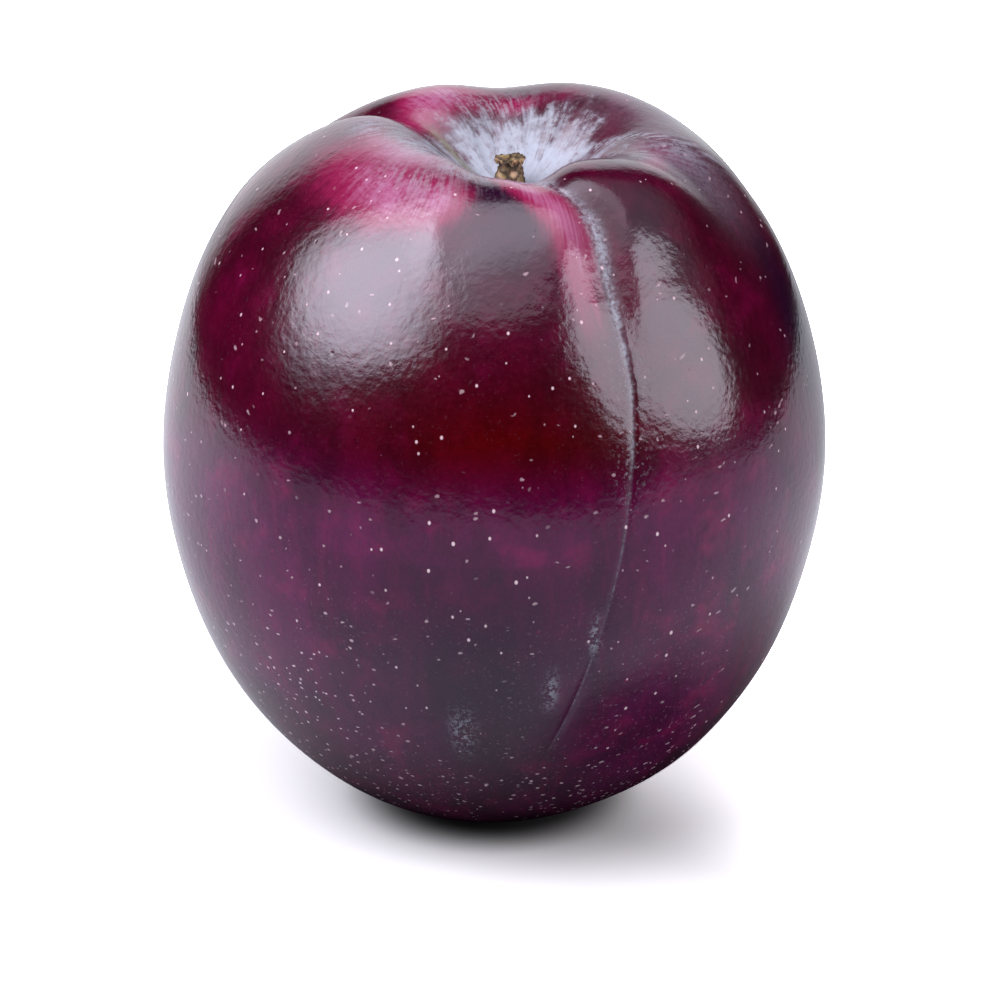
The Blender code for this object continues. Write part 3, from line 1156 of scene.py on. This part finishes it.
@dataclass
class StemStub:
    """The broken end of the stem, standing in the hollow."""

    node: str = "stem_stub"
    sides: int = 56
    rings: int = 26
    cap_rings: int = 9
    waist: float = 0.96
    worn_from: float = 0.45
    wear: float = 0.46
    lump_size: float = 1.05
    lump_height: float = 0.36
    lump_edge: float = 0.25
    lump_room: float = 0.10
    grain_share: float = 0.25
    grain_rate: float = 3.1
    finish: StemFinish = StemFinish()

    def build(self) -> bpy.types.Object:
        """Shapes and dresses the stub.

        Returns:
            The stub, in place of the frame's plain one.
        """
        low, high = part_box(self.node)
        shape = bmesh.new()
        self._stem(shape, low / MM, high / MM)
        crevice = self._lumps(shape, low / MM, high / MM)
        bmesh.ops.recalc_face_normals(shape, faces=shape.faces)
        mesh = bpy.data.meshes.new("plum_stem_stub")
        shape.to_mesh(mesh)
        shape.free()
        write_layer(mesh, Layer.PAINTED_CRACK_SHADE, np.array(crevice))
        write_points(mesh, read_points(mesh) * MM)
        mesh.shade_smooth()
        piece = show("plum_stem_stub", mesh)
        mesh.materials.append(self.finish.make())
        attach(piece, Body.WHOLE.value)
        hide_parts(self.node)
        return piece

    def _stem(self, shape: bmesh.types.BMesh, low: Vector, high: Vector) -> None:
        """Extrudes the stem from its foot upwards, with a slight waist, and closes both ends."""
        middle = (low + high) / 2
        reach = (high.x - low.x) / 2 - self.lump_room
        start = bmesh.ops.create_circle(shape, cap_ends=False, segments=self.sides, radius=reach)
        bmesh.ops.translate(shape, verts=start["verts"], vec=(middle.x, middle.y, low.z))
        ring = list(shape.edges)
        bmesh.ops.contextual_create(shape, geom=ring)
        rise = (high.z - low.z - self.lump_height) / self.rings
        for step in range(self.rings):
            verts, ring = self._extrude(shape, ring)
            bmesh.ops.translate(shape, verts=verts, vec=(0, 0, rise))
            self._set_radius(verts, middle, reach * self._girth((step + 1) / self.rings))
        for step in range(self.cap_rings):
            verts, ring = self._extrude(shape, ring)
            self._set_radius(verts, middle, reach * (1.0 - (step + 1) / (self.cap_rings + 1)))
        bmesh.ops.contextual_create(shape, geom=ring)

    def _extrude(self, shape: bmesh.types.BMesh, ring: list[bmesh.types.BMEdge],
                 ) -> tuple[list[bmesh.types.BMVert], list[bmesh.types.BMEdge]]:
        """Extrudes the open ring of edges and gives the new ring's vertices and edges."""
        grown = bmesh.ops.extrude_edge_only(shape, edges=ring)["geom"]
        verts = [item for item in grown if isinstance(item, bmesh.types.BMVert)]
        edges = [item for item in grown if isinstance(item, bmesh.types.BMEdge) and item.is_boundary]
        return verts, edges

    def _girth(self, share: float) -> float:
        """The stem's girth at a share of its height: a waist in the middle, a worn edge at the break."""
        girth = self.waist + (1.0 - self.waist) * (2.0 * share - 1.0) ** 2
        worn = max(share - self.worn_from, 0.0) / (1.0 - self.worn_from)
        return girth * (1.0 - self.wear * worn * worn)

    def _set_radius(self, verts: list[bmesh.types.BMVert], middle: Vector, radius: float) -> None:
        """Moves a ring's vertices to a distance from the stem's axis."""
        for vert in verts:
            away = Vector((vert.co.x - middle.x, vert.co.y - middle.y))
            away = away.normalized() * radius
            vert.co.x = middle.x + away.x
            vert.co.y = middle.y + away.y

    def _lumps(self, shape: bmesh.types.BMesh, low: Vector, high: Vector) -> list[float]:
        """Swells the surface into rounded grains with cracks between them.

        Args:
            shape: the smooth stem.
            low: the lowest corner it may reach.
            high: the highest corner it may reach.

        Returns:
            How far each vertex is from the nearest crack.
        """
        shape.normal_update()
        shape.verts.ensure_lookup_table()
        moves = []
        crevice = []
        for vert in shape.verts:
            near = noise.voronoi(vert.co / self.lump_size)[0]
            gap = near[1] - near[0]
            height = self.lump_height * (1.0 - math.exp(-gap / self.lump_edge))
            height += self.grain_share * self.lump_height * noise.noise(vert.co * self.grain_rate)
            moves.append(vert.normal * height)
            crevice.append(gap)
        for vert, move in zip(shape.verts, moves):
            moved = vert.co + move
            vert.co = Vector(min(max(moved[i], low[i]), high[i]) for i in range(3))
        return crevice


# ---------------------------------------------------------------------------------------------------
# Studio
# ---------------------------------------------------------------------------------------------------


def toward(azimuth: float, elevation: float) -> Vector:
    """The unit vector at an azimuth and elevation, both in degrees, seen from the fruit."""
    turn = math.radians(azimuth)
    tilt = math.radians(elevation)
    return Vector((math.sin(turn) * math.cos(tilt), -math.cos(turn) * math.cos(tilt), math.sin(tilt)))


@dataclass(frozen=True)
class SoftBox:
    """A flat, evenly lit panel that faces the fruit."""

    name: str
    azimuth: float
    elevation: float
    distance: float
    width: float
    height: float
    radiance: float
    roll: float = 0.0

    def build(self, aim: Vector) -> bpy.types.Object:
        """Hangs the panel.

        Args:
            aim: the point that it faces.

        Returns:
            The light.
        """
        light = bpy.data.lights.new(self.name, "AREA")
        light.shape = "ELLIPSE"
        light.size = self.width
        light.size_y = self.height
        area = self.width * self.height * math.pi / 4
        light.energy = self.radiance * math.pi * area
        lamp = bpy.data.objects.new(self.name, light)
        bpy.context.scene.collection.objects.link(lamp)
        direction = toward(self.azimuth, self.elevation)
        lamp.location = aim + direction * self.distance
        turned = direction.to_track_quat("Z", "Y") @ Quaternion((0.0, 0.0, 1.0), math.radians(self.roll))
        lamp.rotation_euler = turned.to_euler()
        return lamp


@dataclass(frozen=True)
class Glow:
    """A soft-edged round patch of light in the surroundings."""

    azimuth: float
    elevation: float
    inner: float
    outer: float
    radiance: float

    def add_to(self, graph: Graph, direction: Field, light: Field | float) -> Field:
        """Adds the patch to the light that comes from a direction.

        Args:
            graph: the world's nodes.
            direction: the direction looked in.
            light: the light so far.

        Returns:
            The light with the patch.
        """
        facing = graph.measure("DOT_PRODUCT", direction, toward(self.azimuth, self.elevation))
        edge = math.cos(math.radians(self.outer))
        return light + self.radiance * facing.rising(edge, math.cos(math.radians(self.inner)))


@dataclass
class Studio:
    """Table, surroundings, soft boxes and camera.

    The camera sees a bright table and a white backdrop, while the skin mirrors softer, dimmer light.
    Ranges on the table are in millimetres, from the fruit's middle or along a direction.
    """

    view_azimuth: float = -26.0
    view_elevation: float = 21.47
    view_distance: float = 600.0
    lens: float = 255.3
    look_height: float = 31.0
    look_right: float = 0.55
    look_down: float = 3.75
    glows: tuple[Glow, ...] = (
        Glow(-96.0, 43.0, 0.0, 34.0, 5.0),
        Glow(-60.0, 78.0, 0.0, 30.0, 1.6),
        Glow(64.0, 54.0, 0.0, 42.0, 0.45),
        Glow(159.0, 10.0, 20.0, 34.0, 1.15),
    )
    glow_colour: Colour = (0.92, 0.95, 1.0)
    floor_radius: float = 260.0
    floor_sides: int = 96
    floor_brightness: float = 1.04
    # painted light: the table is brighter to the camera on the side where the shadow falls
    painted_light_aside: float = 2.8
    floor_tint: Colour = (0.99, 0.96, 1.0)
    # the table's painted light and shade in reflections: dim under the fruit, brighter behind it
    floor_glow: float = 0.28
    floor_glow_under: float = 0.012
    floor_glow_behind: float = 0.50
    shadow_side: float = 135.0
    # a painted dark patch in front of the fruit, and how strong the painted shade is
    front_painted_shade: tuple[float, float, float] = (8.0, -27.0, 0.0)
    painted_shade_share: float = 0.8
    front_painted_shade_range: Span = (4.0, 19.0)
    near_range: Span = (9.0, 46.0)
    behind_range: Span = (-70.0, 60.0)
    behind_start: Span = (9.0, 30.0)
    far_side_range: Span = (55.0, 115.0)
    far_side_dimming: float = 0.6
    # a painted shadow on the table, seen only in reflections
    shadow_edge: Span = (-4.0, 10.0)
    shadow_end: Span = (20.0, 60.0)
    aside_range: Span = (0.0, 20.0)
    # painted contact shadow where the fruit touches the table
    painted_contact_shadow: float = 0.07
    contact_range: Span = (7.5, 13.8)
    darkness: float = 0.004
    boxes: tuple[SoftBox, ...] = (
        SoftBox("key", -93.0, 45.0, 0.70, 0.94, 0.65, 1.8),
        SoftBox("fill", 40.5, 21.5, 0.70, 0.82, 0.48, 3.25, roll=-36.0),
        SoftBox("top", -20.0, 72.0, 0.80, 0.95, 0.86, 1.05),
    )

    def build(self) -> None:
        """Sets up everything round the fruit."""
        aim = Vector((0.0, 0.0, self.look_height * MM))
        for box in self.boxes:
            box.build(aim)
        self._floor()
        self._world()
        self._camera(aim)
        bpy.context.scene.view_settings.view_transform = "Standard"

    def _floor(self) -> None:
        """A round white table top."""
        shape = bmesh.new()
        reach = self.floor_radius * MM
        bmesh.ops.create_circle(shape, cap_ends=True, segments=self.floor_sides, radius=reach)
        mesh = bpy.data.meshes.new("table_top")
        shape.to_mesh(mesh)
        shape.free()
        floor = show("table_top", mesh)
        material = bpy.data.materials.new("white_table")
        graph = Graph(material)
        place = graph.place()
        away = graph.measure("LENGTH", place)
        side = graph.measure("DOT_PRODUCT", place, toward(self.view_azimuth + self.shadow_side, 0.0))
        seen = graph.field("ShaderNodeLightPath", "Is Camera Ray")
        mirrored = self._mirrored_table(graph, place, away, side)
        bright = self._seen_table(away, side)
        lit = graph.mix(seen, self.glow_colour, self.floor_tint)
        # the table's colour carries painted light and shade
        shade = lit * (mirrored + (bright - mirrored) * seen)
        shader = graph.node("ShaderNodeBsdfDiffuse", {}, {"Color": shade})
        graph.node("ShaderNodeOutputMaterial", {}, {"Surface": shader.outputs[0]})
        mesh.materials.append(material)

    def _mirrored_table(self, graph: Graph, place: Field, away: Field, side: Field) -> Field:
        """How bright the table is to everything but the camera, as painted light and shade: dark under the
        fruit and in a painted shadow, lightest behind it.

        Args:
            graph: the material's nodes.
            place: the point of the table.
            away: its distance from the fruit's middle.
            side: how far it lies towards the side that the shadow falls on.

        Returns:
            The brightness.
        """
        behind = graph.measure("DOT_PRODUCT", place, toward(self.view_azimuth + 180.0, 0.0))
        glow = away.rising(*self.near_range).between(self.floor_glow_under, self.floor_glow)
        far_glow = behind.rising(*self.behind_range) * away.rising(*self.behind_start)
        far_glow = far_glow * (1.0 - self.far_side_dimming * side.rising(*self.far_side_range))
        glow = glow + self.floor_glow_behind * far_glow
        shadow = side.rising(*self.shadow_edge) * away.falling(*self.shadow_end)
        glow = glow * (1.0 - self.painted_shade_share * shadow)
        front = graph.measure("DISTANCE", place, self.front_painted_shade)
        return glow * (1.0 - self.painted_shade_share * front.falling(*self.front_painted_shade_range))

    def _seen_table(self, away: Field, side: Field) -> Field:
        """How bright the table is to the camera, with painted light on the shadow's side and a painted
        contact shadow where the fruit touches it.
        """
        aside = side.rising(*self.aside_range)
        bright = aside.between(self.floor_brightness, self.painted_light_aside)
        return bright * away.rising(*self.contact_range).between(self.painted_contact_shadow, 1.0)

    def _world(self) -> None:
        """Soft glows round the fruit, darkness in front of it, and plain white to the camera."""
        world = bpy.data.worlds.new("studio")
        bpy.context.scene.world = world
        graph = Graph(world)
        direction = graph.field("ShaderNodeTexCoord", "Generated")
        light = self.darkness
        for glow in self.glows:
            light = glow.add_to(graph, direction, light)
        seen = graph.field("ShaderNodeLightPath", "Is Camera Ray")
        strength = light * (1.0 - seen) + seen
        colour = graph.mix(seen, self.glow_colour, (1.0, 1.0, 1.0))
        shader = graph.node("ShaderNodeBackground", {}, {"Color": colour, "Strength": strength})
        graph.node("ShaderNodeOutputWorld", {}, {"Surface": shader.outputs[0]})

    def _camera(self, aim: Vector) -> None:
        """Looks down at the fruit from the front left."""
        camera = bpy.data.objects.new("camera", bpy.data.cameras.new("camera"))
        bpy.context.scene.collection.objects.link(camera)
        back = toward(self.view_azimuth, self.view_elevation)
        right = Vector((0.0, 0.0, 1.0)).cross(back).normalized()
        up = back.cross(right)
        camera.location = aim + back * self.view_distance * MM
        look_at = aim + (right * self.look_right - up * self.look_down) * MM
        away = (camera.location - look_at).normalized()
        camera.rotation_euler = away.to_track_quat("Z", "Y").to_euler()
        camera.data.lens = self.lens
        camera.data.clip_start = 0.01
        camera.data.clip_end = 10.0
        bpy.context.scene.camera = camera


def main() -> None:
    """Builds the plum and its studio."""
    logging.basicConfig(level=logging.INFO, format="%(name)s: %(message)s")
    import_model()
    Studio().build()
    for part in (Fruit(), StemStub()):
        report(part.build())


if __name__ == "__main__":
    main()
